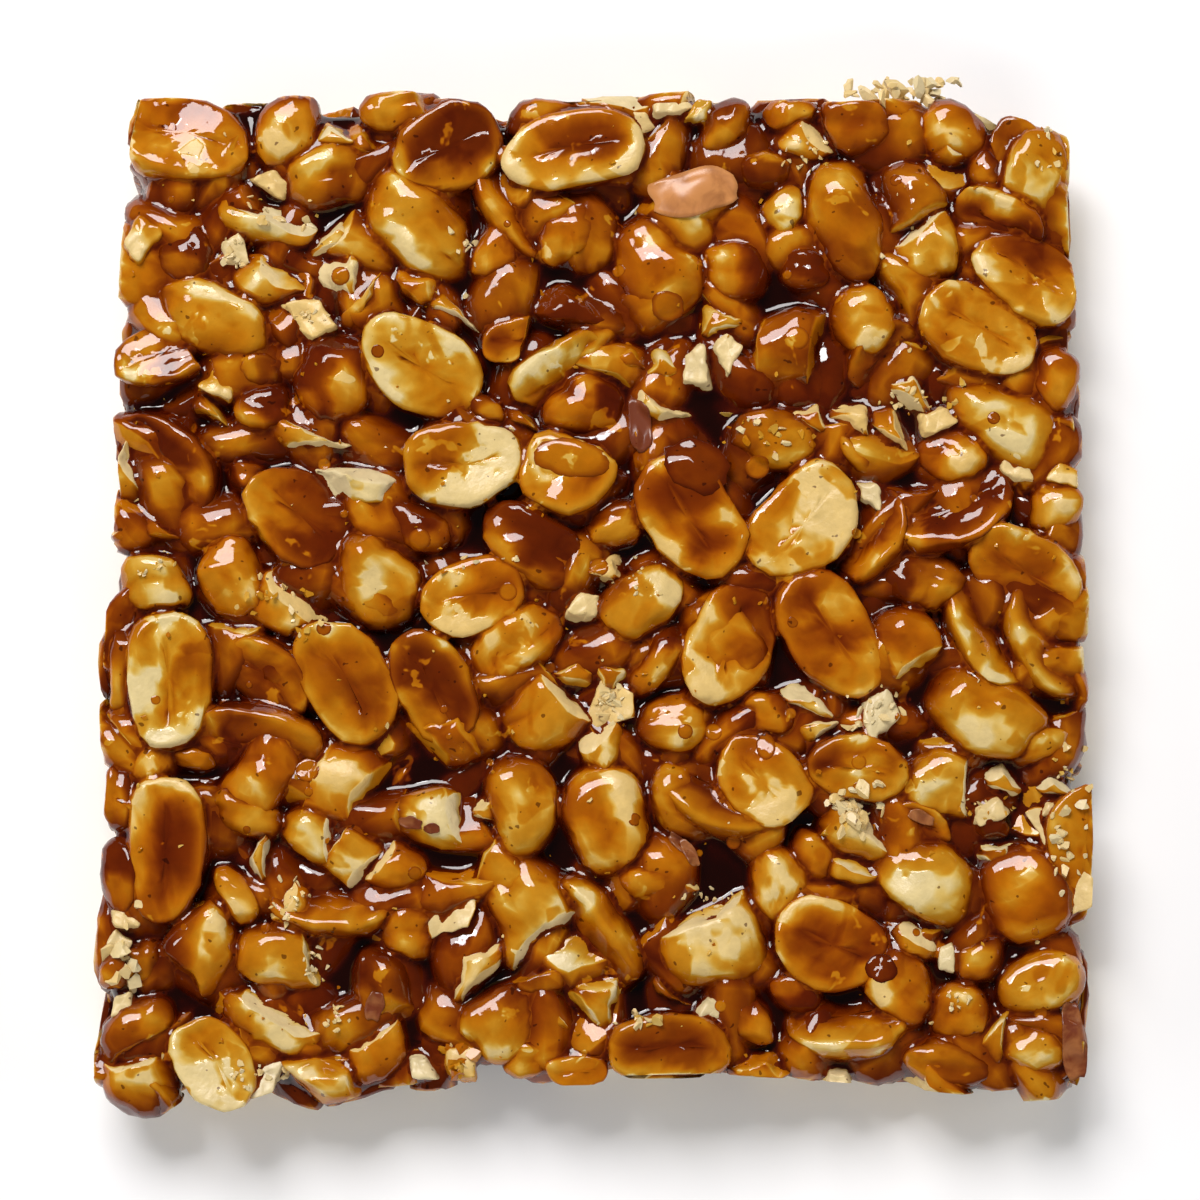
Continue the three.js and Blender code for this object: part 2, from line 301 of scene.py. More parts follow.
# the nuts that show on top, by shape: middle x and y, length, width, turn of the long side in degrees,
# syrup over it and, for some, how far its face leans; sizes in mm
topNuts = {
    "open": [
        (-42.9, 46.6, 13.5, 9.6, -12, 0.35, -18), (-18.2, 23.4, 13.6, 9.2, -33, 0.12),
        (-15.6, 46, 11.5, 9.2, 20, 0.9), (-2.4, 45.4, 14.8, 8.3, 12, 0.5),
        (-9.3, 39.2, 10.5, 5.6, -62, 0.8, -40), (-4.3, 23, 10.5, 6, 35, 0.5, 30),
        (41.9, 39, 9.6, 5.4, -20, 0.7, 35), (44.2, 32.2, 12.4, 8.4, -35, 0.45, -15),
        (39.2, 26.7, 13, 8.6, -25, 0.4), (29.2, 25, 9.2, 5, 35, 0.7, 35),
        (-44.3, 13.6, 13.5, 9, -42, 0.9, 25), (-31.4, 7.2, 12, 9.2, -42, 0.8, -15),
        (-43.8, -9.4, 14.2, 8.9, 92, 0.6), (-33.6, -8.8, 11, 6.5, -42, 0.6, 25),
        (-25.9, -9.4, 13.6, 9, -58, 0.35), (-34.6, -15.2, 14, 6.4, -14, 0.95, 30),
        (-16.8, -10, 12.5, 8, -62, 0.85), (-13.8, 12.9, 12.2, 8.6, 8, 0.3), (-3.1, 11.8, 10, 8.2, -12, 0.8),
        (-12.9, -0.7, 10.8, 8, 14, 0.45), (9.6, 7.6, 14, 9.4, -58, 0.8), (13.3, -5.8, 13, 8.8, 68, 0.55),
        (21.3, 6.8, 13.2, 9.6, 50, 0.25), (28.8, 5.2, 10.6, 6.2, 62, 0.6, -35),
        (36.8, 7.8, 13, 8, 22, 0.7, -20), (44.2, 2, 12.6, 7.4, -32, 0.4, 15),
        (23.9, -4.6, 14, 9.2, -56, 0.6), (39.8, -5, 12.6, 6.6, -58, 0.5, -30),
        (45.8, -5.4, 13, 6.6, -60, 0.5, -30), (-43.8, -26.6, 15.2, 8.2, 90, 0.6),
        (-27.3, -32.5, 12.8, 5, -3, 0.5, -40), (-38.8, -48.6, 10.5, 7.4, -55, 0.2, -15),
        (0.4, -34.7, 13.2, 5.6, -52, 0.5, 50), (-2, -48.7, 6, 3.6, 8, 0.3),
        (12.3, -21.5, 13, 7, -22, 1.1, -30), (7.3, -46.8, 12.2, 7.2, 0, 0.5),
        (17, -19.6, 10.4, 8.2, -45, 0.35), (26.8, -18.3, 10.6, 6.6, -8, 0.8),
        (33, -23.9, 6.6, 3.8, -18, 0.3, 20), (23.6, -36.1, 12, 9, -22, 0.6),
        (25.6, -44.8, 13, 5.2, 12, 0.5, -40),
    ],
    "round": [
        (-32, 48.4, 8.5, 6.5, 70, 0.5), (-28, 43, 9, 6.5, 15, 0.7), (-42.6, 35, 8, 5.6, 100, 1.4),
        (-39.4, 28, 12.8, 7.4, -24, 0.35), (-35, 23.1, 5, 4.6, 0, 0.6), (-27.2, 22, 9.5, 7.8, 80, 1.0),
        (-18.7, 38, 13.5, 8.4, -50, 0.3), (-5.4, 49.2, 8.5, 4.4, 5, 0.8), (-10.3, 35.2, 6, 5.4, 20, 0.35),
        (-2.9, 36.8, 6.8, 5.2, 75, 0.4), (6.2, 33.6, 11.5, 8.6, -55, 0.5), (10.2, 40.6, 8, 5.6, 10, 0.8),
        (13.3, 48.4, 6, 5, 80, 0.6), (-0.3, 25.4, 5, 4, 70, 0.5), (14.1, 33.4, 6.8, 6.2, 0, 0.8),
        (20, 50, 5.8, 3.4, 8, 0.3), (27, 48.8, 8, 6, 0, 0.5), (37, 48, 7, 6.4, 0, 0.4),
        (40.6, 43.8, 5, 4, -60, 0.7), (45.6, 43.6, 10.5, 6.8, 80, 0.3), (17.2, 44, 5.6, 4.4, 10, 0.8),
        (19.4, 39.4, 5.6, 4.6, 50, 0.4), (25.9, 38.2, 13, 7.6, -75, 0.5), (21.6, 33.4, 5.6, 5, 0, 0.9),
        (27.6, 27.8, 7.6, 6.6, -40, 0.3), (47.4, 21.6, 6.4, 5, 70, 0.6), (-34.5, 19, 6.5, 5, 0, 0.9),
        (-36, 11.5, 4, 3.5, 0, 0.9), (-45.4, 0.6, 7.6, 6.2, 0, 0.12), (-37.4, 1.4, 8.5, 6.6, -70, 0.35),
        (-22.6, 1.2, 11.5, 7.6, -58, 0.4), (-48.8, -8.5, 9, 3, 90, 0.5), (-6.6, 4.6, 12, 7, -32, 0.9),
        (2, 6.8, 5.6, 5.2, 0, 0.6), (-8.6, -5.8, 10.6, 6.8, 35, 0.4), (4.6, -1, 9.4, 6.6, 38, 0.6),
        (-11.5, 18.5, 3.6, 3.2, 0, 0.8), (-1.6, 19, 9, 6.4, 0, 1.2), (6.2, -7.4, 9, 4.6, 50, 1.2),
        (7.6, -13.5, 8, 6, 0, 0.5), (-18.2, 6.6, 7, 5, -15, 0.8), (18, 15.6, 9, 5.6, -8, 0.3),
        (27.2, 14.2, 7, 3.8, -50, 0.6), (36.6, 14, 6.8, 5.8, 20, 0.35), (42, 17.2, 13.2, 7.8, -28, 0.3),
        (47.2, 8.4, 6.4, 5.4, 80, 0.2), (33.6, 1, 9, 5.4, -10, 1.0), (40, -12.4, 13, 8.2, -26, 0.4),
        (17.5, -12.8, 5.4, 4.8, 0, 0.5), (-45.5, -17.6, 6.5, 4.4, 50, 0.8),
        (-41.5, -17.4, 5, 2.6, -10, 0.9), (-34.3, -19, 11.5, 6.4, 62, 0.4), (-36, -23, 8, 4.6, -10, 0.5),
        (-36.9, -31.4, 7, 3.6, -68, 0.05), (-46.4, -38.3, 4.4, 3.8, 90, 0.2),
        (-49, -38.8, 4.4, 3.4, 90, 0.4), (-48.6, -29.5, 8, 4, 90, 1.0), (-48.8, -21.5, 7, 4, 85, 0.8),
        (-19.3, -34.6, 6, 5.8, 0, 0.3), (-7.8, -22.2, 10.6, 7.2, -80, 0.4),
        (0.8, -23.8, 11.2, 8.8, 100, 0.5), (-9.8, -44.2, 8.8, 7.4, 42, 0.4),
        (-6.8, -47.6, 5.5, 4.5, 0, 1.0), (15.6, -43.9, 5, 4.8, 90, 0.4), (45.2, -16, 6.4, 4, 10, 0.12),
        (40.2, -24.4, 3.4, 2.4, 0, 0.9), (44, -31.2, 11, 8.8, -60, 0.55), (33.6, -30, 11, 8.2, -28, 0.25),
        (18.4, -30, 7.2, 6.6, 60, 0.6), (21.8, -27.3, 5.2, 4.6, -30, 0.4), (39, -37.8, 5, 5, 0, 1.4),
        (31, -40.3, 8.4, 6.4, -50, 0.5), (36.9, -42.9, 6.4, 6, 0, 0.35), (45.2, -40.3, 8, 6.8, -8, 0.2),
        (44.6, -47, 6.6, 5.6, -30, 0.4), (35.6, -48.3, 9.6, 4.8, -12, 0.5), (20.2, -41.3, 5.4, 4, 0, 0.9),
    ],
    "snapped": [
        (-20.5, 50, 9, 5, 0, 0.5), (32.8, 40.8, 8.6, 7.2, -76, 0.5), (34.1, 35.2, 8.4, 7.4, 104, 0.25),
        (-5.4, -12.8, 9, 8, 25, 0.2), (31.6, -5.6, 8, 7.2, -70, 0.4), (-29.2, -25, 7, 5.4, -25, 0.2),
        (-20.5, -28.6, 5.8, 5.4, 150, 0.3), (-46.9, -44.9, 5.8, 7.6, -85, 0.5),
        (-46.6, -50.1, 7.6, 7.6, 95, 0.35), (-32.3, -37.6, 9.6, 6, -5, 0.35),
        (-21.9, -41.2, 9.6, 6.4, -82, 0.7), (-22.4, -47.4, 6, 6.2, 95, 0.25),
        (-17, -23.3, 10.5, 5.8, -8, 0.35), (-7, -32.6, 12.4, 9, -62, 0.3), (-5.9, -40.2, 3, 5.6, 100, 0.5),
        (6, -29.9, 8.6, 4, 4, 0.2), (12, -36, 10.2, 11.4, 105, 0.35), (35.2, -20, 9, 7.4, -18, 0.18),
    ],
    "lump": [
        (-27.6, 47.2, 4.5, 3.4, 10, 0.4), (-24.7, 47, 4, 3.8, 0, 0.5), (-27.2, 36.4, 6, 3, 25, 0.25),
        (-26.6, 32.4, 5.6, 5, 100, 0.15), (-18.2, 32.2, 5.6, 4.4, -25, 0.6), (-3.2, 29.4, 7, 5.5, 10, 1.2),
        (3, 23.8, 4.6, 3.8, 0, 0.5), (6.6, 23.6, 4.6, 4.2, 20, 0.4), (12.4, 28, 4.6, 4.2, 30, 0.4),
        (32.4, 20.9, 5.2, 4.8, -20, 0.15), (0.9, 2.4, 4.6, 3, -5, 0.3), (-2.2, -8.2, 4.8, 3.8, 20, 0.4),
        (1.7, -8.6, 4.6, 4.2, -60, 0.35), (22, 17.8, 4.4, 3, -15, 0.3), (26.6, 17.8, 5, 3.2, -30, 0.08),
        (21.6, -11.2, 6, 3, -10, 0.2), (-34.5, -27.6, 5.6, 2.8, 95, 0.12), (-11, -22.2, 3.4, 3.6, 0, 0.3),
        (-13, -38.6, 8.5, 5, 62, 0.2), (-4.3, -44, 3.2, 2.8, 0, 0.3), (0.4, -41.4, 6.6, 6, -30, 0.4),
        (16.5, -48.6, 6.5, 3.4, 5, 0.5), (41.4, -19.5, 4, 3.4, 0, 0.15), (46.6, -19.9, 3.8, 2.6, 0, 0.12),
        (41.2, -26.9, 4.4, 3.8, -20, 0.3),
    ],
    "chip": [
        (-33.6, 42.6, 4.6, 2.8, -35, 0.08), (-47.2, 36.2, 6, 4, 60, 0.6), (-37.9, 35, 4.2, 3.1, 100, 0.06),
        (-29.6, 28.2, 6, 4.2, -50, 0.05), (-39, 21.4, 4.2, 3.2, -20, 0.4), (4.4, 48.8, 3.6, 2.6, -50, 0.2),
        (7.5, 50.2, 5, 2.6, 5, 0.15), (10.6, 50, 3, 3, 0, 0.4), (9.8, 22.8, 5.4, 3.6, 100, 0.2),
        (13.3, 24.5, 4, 3.6, 60, 0.06), (-1.2, -1.8, 3.8, 3.2, -10, 0.06), (35, 17.6, 4.4, 3, 25, 0.15),
        (43, 12.7, 4.4, 3.2, -15, 0.15), (48, 11.8, 4, 2.6, -15, 0.4), (28, 9.6, 3.4, 2.8, 100, 0.3),
        (28.6, -12.6, 5.6, 5, 40, 0.05), (-48.3, -33.6, 3, 2.4, 10, 0.03), (-49, -36.4, 3.2, 2.8, 60, 0.05),
        (-48.2, -42.4, 2.9, 2.6, 20, 0.03), (-14, -48.2, 4.4, 3.6, 90, 0.4),
        (-17.8, -48.6, 3.2, 3, 0, 0.05), (11.5, -42.4, 3.2, 2.8, 0, 0.1), (24.4, -49.6, 2.8, 2, 0, 0.1),
        (39.8, -22.6, 4.2, 2.4, 25, 0.12), (46.9, -22.1, 3.6, 1.8, 0, 0.1), (24.4, -24.4, 3.6, 3, 0, 0.5),
        (35.6, -37.7, 3.4, 2.2, 90, 0.3),
    ],
    "chipped": [
        (-34.6, 38.4, 11, 5, -12, 0.15), (-33.5, 32.6, 8, 6, -20, 0.4), (22.2, 46.9, 5.8, 4.4, -20, 0.12),
        (-31.8, -1.4, 9, 6.8, -20, 0.15), (0.4, -15.8, 6.5, 4.6, 75, 0.15),
        (-31.4, -32.2, 5, 4.6, 90, 0.06), (-32.5, -43.9, 12.4, 6.2, -12, 0.35),
        (26.8, -25, 8, 5.6, -20, 0.1), (26.5, -28.5, 6, 2.8, -5, 0.4), (32.2, -35.8, 5.6, 3.8, -10, 0.12),
    ],
    "wedge": [
        (-23.9, 30.8, 8.5, 2.6, 55, 0.5), (-14.4, 28.4, 7, 2.2, -35, 0.2), (-48.4, 12.5, 8, 2.4, 100, 0.2),
        (-39.5, 18, 6, 2.6, -40, 0.5), (-28.5, 15.7, 11.3, 3.4, -8, 0.2), (-44.5, 5.6, 6, 2.5, -15, 0.6),
        (-48.3, 6.6, 4.5, 1.8, 60, 0.3), (4.4, 16.4, 5, 2.4, 100, 1.8), (-7.2, 17.2, 5, 2, -35, 0.5),
        (31, 15.8, 7, 3, -55, 0.15), (23.4, -14.2, 6.4, 3.2, 15, 0.1), (7.5, -41.5, 5, 1.6, -35, 0.6),
        (41, -44.8, 6.8, 3.4, 62, 0.4),
    ],
    "openSnapped": [
        (-45.6, 23.8, 8.5, 6.5, 15, 0.9, -15), (-9.4, 26.3, 5, 4.6, 0, 0.6),
    ],
    "shard": [
        (5.8, 19.6, 8, 3.2, -35, 0.25), (-24.6, 10.8, 10.5, 5, 3, 0.15), (-15.9, -14.8, 8, 7, 20, 0.5),
        (-28, -49.5, 8, 6, 10, 0.6),
    ],
    "snappedTwice": [
        (20, 24.9, 9.6, 8.2, 5, 0.5), (-25.5, -19.7, 9.6, 8, -8, 0.4), (-24.7, -27.6, 6.4, 6, -35, 0.15),
        (-39.8, -36.4, 9.6, 7.4, 50, 0.8),
    ],
    "split": [
        (1.5, -11.9, 5.6, 4.6, 80, 0.03), (-34.4, -49.8, 6, 3, 20, 0.06), (-15, -32.8, 7, 4.6, 75, 0.04),
        (47, -25.6, 7.5, 5, -25, 0.03), (49.2, -31, 5.6, 3.4, 90, 0.03),
    ],
}

nutPlacing = {
    "topHeight": 10.9,       # mm, crowns of the large nuts
    "smallDrop": 1.5,        # how much lower the smallest pieces lie
    "fullSize": 75,          # length times width from which a nut counts as large
    "unevenDrop": 0.6,
    "thickness": {"open": 0.52, "round": 0.78},  # share of the width
    "rootHeight": 5.6,       # every piece reaches down at least this far
    "wideOpen": 0.64,        # width of an open half seen square on, as a share of its length
    "swell": 0.42,           # mm of unevenness at the size of a nut
    "calm": 0.6,             # share of that on open halves
    "standOut": (-0.7, 0.8),  # mm past the cut sides
    "ripple": 0.08,          # mm of fine unevenness
    "taper": 0.14,
    "tilt": 5,               # degrees that any nut may lean
    "leanThin": 0.7,         # share of its depth that a nut with a lean of its own keeps
    "swellScale": 0.23, "rippleScale": 0.9,  # larger makes smaller bumps
    "skew": 0.5, "skewBelow": 8.5,  # sideways slant of the pieces shorter than this many mm
    "bend": 0.07,
    "crease": (0.45, 0.32, 0.7),  # share of the round nuts with one, depth and width in mm
    "coated": (0.3, 0.8),    # syrup depth from which breaks are thinly and then fully coated
    "coatHides": 0.85,       # share of a break that full syrup hides
    "wobbleScale": 0.35,
    "wetLine": (-0.7, 0.4), "wetEdge": 0.2, "wetWobble": 0.6,  # shares of the nut's reach
    "dryFilm": 0.5, "wetFilm": 1.4,
    "towardFront": 0.65,     # share of the nuts whose drier side is the front one
}


def warp(points, length, rng, settings, isRound):
    # tapers, bends and swells one nut so that no two are alike
    u = points[:, 0] * 2 / length
    taper = 1 + rng.uniform(-1, 1) * settings["taper"] * u
    points[:, 1] = points[:, 1] * taper + rng.uniform(-1, 1) * settings["bend"] * length * (u * u - 0.4)
    points[:, 2] = points[:, 2] * (1 + rng.uniform(-0.5, 0.5) * settings["taper"] * u)
    if length < settings["skewBelow"]:
        points[:, 0] += rng.uniform(-1, 1) * settings["skew"] * points[:, 1]
        points[:, 1] += rng.uniform(-0.5, 0.5) * settings["skew"] * points[:, 2]
    share, depth, breadth = settings["crease"]
    if isRound and rng.random() < share:
        line = rng.uniform(-0.12, 0.12) * length + rng.uniform(-0.15, 0.15) * points[:, 0]
        furrow = np.exp(-((points[:, 1] - line) / breadth) ** 2) * (points[:, 2] > 0)
        points[:, 2] -= depth * furrow
    start = Vector((rng.uniform(-99, 99), rng.uniform(-99, 99), rng.uniform(-99, 99)))
    swell = settings["swell"] * min(1, length / 9) * (1 if isRound else settings["calm"])
    for index, point in enumerate(points):
        at = Vector(point)
        big = swellAt(at * settings["swellScale"] + start)
        fine = swellAt(at * settings["rippleScale"] - start)
        points[index] = at + big * swell * 2 + fine * settings["ripple"] * 3
    return points


def wetSide(points, x, y, rng, settings):
    # syrup lies thick on one side of a nut and thin on the other, with a wavy edge between
    angle = rng.uniform(0, 2 * math.pi)
    if rng.random() < settings["towardFront"]:
        angle = math.pi / 2 + rng.uniform(-0.9, 0.9)
    across = (points[:, 0] - x) * math.cos(angle) + (points[:, 1] - y) * math.sin(angle)
    across = across / max(0.5, np.abs(across).max())
    start = rng.uniform(-50, 50)
    scale = settings["wobbleScale"]
    wobble = np.array([noise.noise(Vector((x * scale + start, y * scale, 3.3))) for x, y in points[:, :2]])
    across += wobble * settings["wetWobble"] - rng.uniform(*settings["wetLine"])
    wet = np.clip(across / settings["wetEdge"] * 0.5 + 0.5, 0, 1)
    wet = wet * wet * (3 - 2 * wet)
    return settings["dryFilm"] + (settings["wetFilm"] - settings["dryFilm"]) * wet


class NutHeap:
    # collects copies of the nut shapes and joins them into one piece
    def __init__(self, name):
        self.name = name
        self.points, self.faces, self.film, self.bare, self.tone, self.well = [], [], [], [], [], []
        self.count = 0

    def add(self, shape, points, film, tone):
        mesh = shape.data
        self.faces += [[self.count + v for v in polygon.vertices] for polygon in mesh.polygons]
        self.points.append(points)
        self.film.append(np.zeros(len(points)) + film)
        self.tone.append(np.full(len(points), tone))
        self.bare.append(getAttribute(mesh, "bare"))
        self.well.append(getAttribute(mesh, "well"))
        self.count += len(points)

    def build(self, smooth=True):
        mesh = bpy.data.meshes.new(self.name)
        mesh.from_pydata((np.vstack(self.points) * mm).tolist(), [], self.faces)
        for name in ("film", "tone", "bare", "well"):
            setAttribute(mesh, name, np.concatenate(getattr(self, name)))
        piece = bpy.data.objects.new(self.name, mesh)
        bpy.context.scene.collection.objects.link(piece)
        if smooth:
            smoothShade(piece)
        return piece


# the slab's cut edges as straight runs between these places, mm in the layout: (along, reach)
edgeGive = 0.4  # mm that the nuts stand out beyond these places
undercut = (2.4, 7.5)  # mm that the cut sides draw in at the foot, and the height where that begins
footHeight, footStep = 0.04, 0.02  # mm, slightly different for each nut, so that no two feet share a plane
cutEdge = 0.12   # mm of cutting after which the cut looks bare
cutKeeps = 0.01  # share kept of what is cut off, so that the two sides of a nut don't share one either
slabEdges = {
    "left": [(-60, 50.2), (-46, 51.0), (-40, 51.0), (-30, 50.3), (-20, 49.4), (-10, 50.4), (10, 49.5),
             (30, 49.2), (46, 48.2), (60, 46)],
    "right": [(-60, 48), (-46, 49.3), (-26, 50.4), (0, 49.9), (20, 49.3), (38, 47.9), (46, 48.0), (60, 46)],
    "front": [(-60, 51), (-50, 52.0), (-45.6, 53.8), (-41.5, 51.2), (-37.5, 52.7), (-33.4, 51.4),
              (-28, 52.6), (-22, 50.6), (-16, 50.0), (12, 49.5), (24, 50.2), (37, 51.4), (50, 50.6)],
    "back": [(-60, 50), (-46, 51.2), (-20, 51.5), (-9, 50.0), (0, 50.2), (10, 50.9), (17, 51.2),
             (25, 50.6), (36, 51.2), (40, 49.4), (48.3, 46.6), (60, 40)],
}


def edgeReach(side, along):
    places, reaches = zip(*slabEdges[side])
    return np.interp(along, places, reaches) + edgeGive


def trimToSlab(points, give):
    # flattens whatever stands out of the cut sides or under the foot, and says how much was cut
    x, y = points[:, 0].copy(), points[:, 1].copy()
    depth, height = undercut
    foot = footHeight + footStep * (give - nutPlacing["standOut"][0])
    give = give - depth * np.clip(1 - points[:, 2] / height, 0, 1)
    left, right = -edgeReach("left", y) - give, edgeReach("right", y) + give
    front, back = -edgeReach("front", x) - give, edgeReach("back", x) + give
    cut = np.maximum.reduce([left - x, x - right, front - y, y - back, foot - points[:, 2]])
    for axis, low, high in ((0, left, right), (1, front, back), (2, foot, 100)):
        flat = np.clip(points[:, axis], low, high)
        points[:, axis] = flat + cutKeeps * (points[:, axis] - flat)
    return np.clip(cut / cutEdge, 0, 1)


def placeNut(heap, kind, x, y, length, width, turn, film=0.5, lean=None, top=None, rng=None, tone=None):
    settings = nutPlacing
    shape = shapes[kind]
    isOpen = kind.startswith("open")
    trueWidth = width
    if isOpen and lean is not None:
        trueWidth = max(width, settings["wideOpen"] * length)
    thickness = (settings["thickness"]["open"] if isOpen else settings["thickness"]["round"]) * trueWidth
    if top is None:
        small = max(0, 1 - length * width / settings["fullSize"])
        top = settings["topHeight"] - settings["smallDrop"] * small - rng.uniform(0, settings["unevenDrop"])
        deep = 1 if lean is None else settings["leanThin"]
        thickness = max(thickness, (top - settings["rootHeight"]) * deep)
    points = pointsOf(shape.data) * np.array([length, trueWidth, thickness])
    points[:, 2] += thickness / 2
    points = warp(points, length, rng, settings, not isOpen)
    tilt = settings["tilt"]
    lean = (lean or 0) + rng.uniform(-tilt, tilt)
    pitch = rng.uniform(-tilt, tilt)
    pose = Euler((math.radians(lean), math.radians(pitch), math.radians(turn))).to_matrix()
    points = points @ np.array(pose).T
    points += np.array([x, y, top - points[:, 2].max()])
    spread = film * wetSide(points, x, y, rng, settings)
    cut = trimToSlab(points, rng.uniform(*settings["standOut"]))
    points[:, 0] += layoutShift[0]
    points[:, 1] += layoutShift[1]
    heap.add(shape, points, spread, rng.uniform(0, 1) if tone is None else tone)
    thinly, fully = settings["coated"]
    coat = np.clip((film - thinly) / (fully - thinly), 0, 1)
    heap.bare[-1] = np.maximum(heap.bare[-1] * (1 - settings["coatHides"] * coat), cut)


random.seed(4)
topHeap = NutHeap("topNuts")
openHeap = NutHeap("openHalves")
brokenHeap = NutHeap("brokenNuts")
for kind, rows in topNuts.items():
    heap = openHeap if kind.startswith("open") else topHeap if kind == "round" else brokenHeap
    for x, y, length, width, turn, film, *lean in rows:
        placeNut(heap, kind, x, y, length, width, turn, film, lean[0] if lean else None, rng=random)

# nuts that lie deep in the syrup, along the cut sides and on the foot
buriedNuts = {
    "seed": 11, "length": (9, 13), "width": (6, 8),
    "layers": [(7.6, 8.6, 9.8, 0.5), (7.2, 6.8, 8.4, 0.9)],  # spacing, lowest and highest crown, syrup
    "wallSpacing": 3.4, "wallHeights": (2.6, 10.2), "wallInset": (0.4, 3.0),
    "footSpacing": 8.6, "footHeight": 2.4,
}
plainKinds = ["plainRound", "plainRound", "plainSnapped", "plainChipped"]


def looseGrid(width, step, wander, rng):
    # places in rows, each a little off its own
    cells = int(width / step)
    for i in range(cells):
        for j in range(cells):
            yield ((i - cells / 2 + 0.5) * step + rng.uniform(-wander, wander),
                   (j - cells / 2 + 0.5) * step + rng.uniform(-wander, wander))


def scatterBuried(heap, settings):
    rng = random.Random(settings["seed"])
    for step, lowest, highest, film in settings["layers"]:
        for x, y in looseGrid(100, step, 2, rng):
            placeNut(heap, rng.choice(plainKinds), x, y, rng.uniform(*settings["length"]),
                     rng.uniform(*settings["width"]), rng.uniform(0, 180), film * rng.uniform(0.7, 1.4),
                     lean=rng.uniform(-50, 50), top=rng.uniform(lowest, highest), rng=rng)


def scatterWall(heap, settings):
    rng = random.Random(settings["seed"] + 1)
    kinds = plainKinds + ["open"]
    for side in ("left", "right", "front", "back"):
        along = -48
        while along < 48:
            reach = edgeReach(side, along) - rng.uniform(*settings["wallInset"])
            x, y = {"left": (-reach, along), "right": (reach, along),
                    "front": (along, -reach), "back": (along, reach)}[side]
            placeNut(heap, rng.choice(kinds), x, y, rng.uniform(8, 12), rng.uniform(5.5, 7.5),
                     rng.uniform(0, 180), rng.uniform(0.2, 0.7), lean=rng.uniform(-70, 70),
                     top=rng.uniform(*settings["wallHeights"]), rng=rng)
            along += settings["wallSpacing"] * rng.uniform(0.7, 1.3)


def scatterFoot(heap, settings):
    rng = random.Random(settings["seed"] + 2)
    for x, y in looseGrid(98, settings["footSpacing"], 2.4, rng):
        placeNut(heap, rng.choice(plainKinds), x, y, rng.uniform(9, 13), rng.uniform(6, 8.4),
                 rng.uniform(0, 180), rng.uniform(0.3, 0.9), lean=rng.uniform(-30, 30),
                 top=settings["footHeight"] + rng.uniform(0, 1.6), rng=rng)


buriedHeap = NutHeap("buriedNuts")
scatterBuried(buriedHeap, buriedNuts)
wallHeap = NutHeap("wallNuts")
scatterWall(wallHeap, buriedNuts)
footHeap = NutHeap("footNuts")
scatterFoot(footHeap, buriedNuts)
nutPieces = [heap.build() for heap in (topHeap, openHeap, brokenHeap, buriedHeap, wallHeap, footHeap)]
print("nuts placed:", {piece.name: len(piece.data.polygons) for piece in nutPieces})

# the syrup: a slab under and around the nuts, which clings to them in small curves
syrupShape = {
    "level": 7.0, "edgeInset": 2.0, "below": 1.6,  # mm
    "shrink": 0.16,   # mm that the nuts are drawn in by, so that their crowns stand clear
    "voxel": 0.51,    # mm
    "smoothing": 11,
    "foot": 0.09,     # mm, just inside the flat faces of the nuts on the foot
}


def makeSyrup(settings, nuts):
    core = bpy.data.objects.new("syrup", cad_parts[slabNode].data.copy())
    bpy.context.scene.collection.objects.link(core)
    activate(core)
    editMode()
    bpy.ops.mesh.select_all(action="SELECT")
    bpy.ops.mesh.remove_doubles(threshold=1e-6)
    editMode(False)
    points = pointsOf(core.data) / mm
    foot = points[:, 2] < 0.01
    points[:, 2] = np.minimum(points[:, 2], settings["level"] - 1.0)
    points[foot, 2] = -settings["below"]
    high = points[:, 2] > settings["level"] - 2.2
    points[high, 2] = settings["level"]
    x, y = points[:, 0] - layoutShift[0], points[:, 1] - layoutShift[1]
    inset = settings["edgeInset"]
    points[:, 0] = np.clip(x, -edgeReach("left", y) + inset, edgeReach("right", y) - inset) + layoutShift[0]
    points[:, 1] = np.clip(y, -edgeReach("front", x) + inset, edgeReach("back", x) - inset) + layoutShift[1]
    setPoints(core.data, points * mm)
    for nut in nuts:
        copy = bpy.data.objects.new("clinging", nut.data.copy())
        bpy.context.scene.collection.objects.link(copy)
        setPoints(copy.data, pointsOf(copy.data) - normalsOf(copy.data) * settings["shrink"] * mm)
        copy.select_set(True)
    bpy.context.view_layer.objects.active = core
    core.select_set(True)
    bpy.ops.object.join()
    remesh = core.modifiers.new("blend", "REMESH")
    remesh.mode = "VOXEL"
    remesh.voxel_size = settings["voxel"] * mm
    bpy.ops.object.modifier_apply(modifier=remesh.name)
    smooth = core.modifiers.new("flow", "SMOOTH")
    smooth.factor = 0.5
    smooth.iterations = settings["smoothing"]
    bpy.ops.object.modifier_apply(modifier=smooth.name)
    editMode()
    bpy.ops.mesh.select_all(action="SELECT")
    foot = settings["foot"] * mm
    bpy.ops.mesh.bisect(plane_co=(0, 0, foot), plane_no=(0, 0, 1), clear_inner=True, use_fill=True)
    editMode(False)
    points = pointsOf(core.data)
    points[:, 2] = np.maximum(points[:, 2], foot)
    setPoints(core.data, points)
    smoothShade(core)
    for polygon in core.data.polygons:
        polygon.use_smooth = polygon.normal.z > -0.99
    return core


syrup = makeSyrup(syrupShape, nutPieces)
print("syrup poured:", len(syrup.data.polygons), "faces")


def treeOf(pieces):
    points, faces, start = [], [], 0
    for piece in pieces:
        points += [Vector(p) for p in pointsOf(piece.data)]
        faces += [[start + v for v in polygon.vertices] for polygon in piece.data.polygons]
        start = len(points)
    return BVHTree.FromPolygons(points, faces)


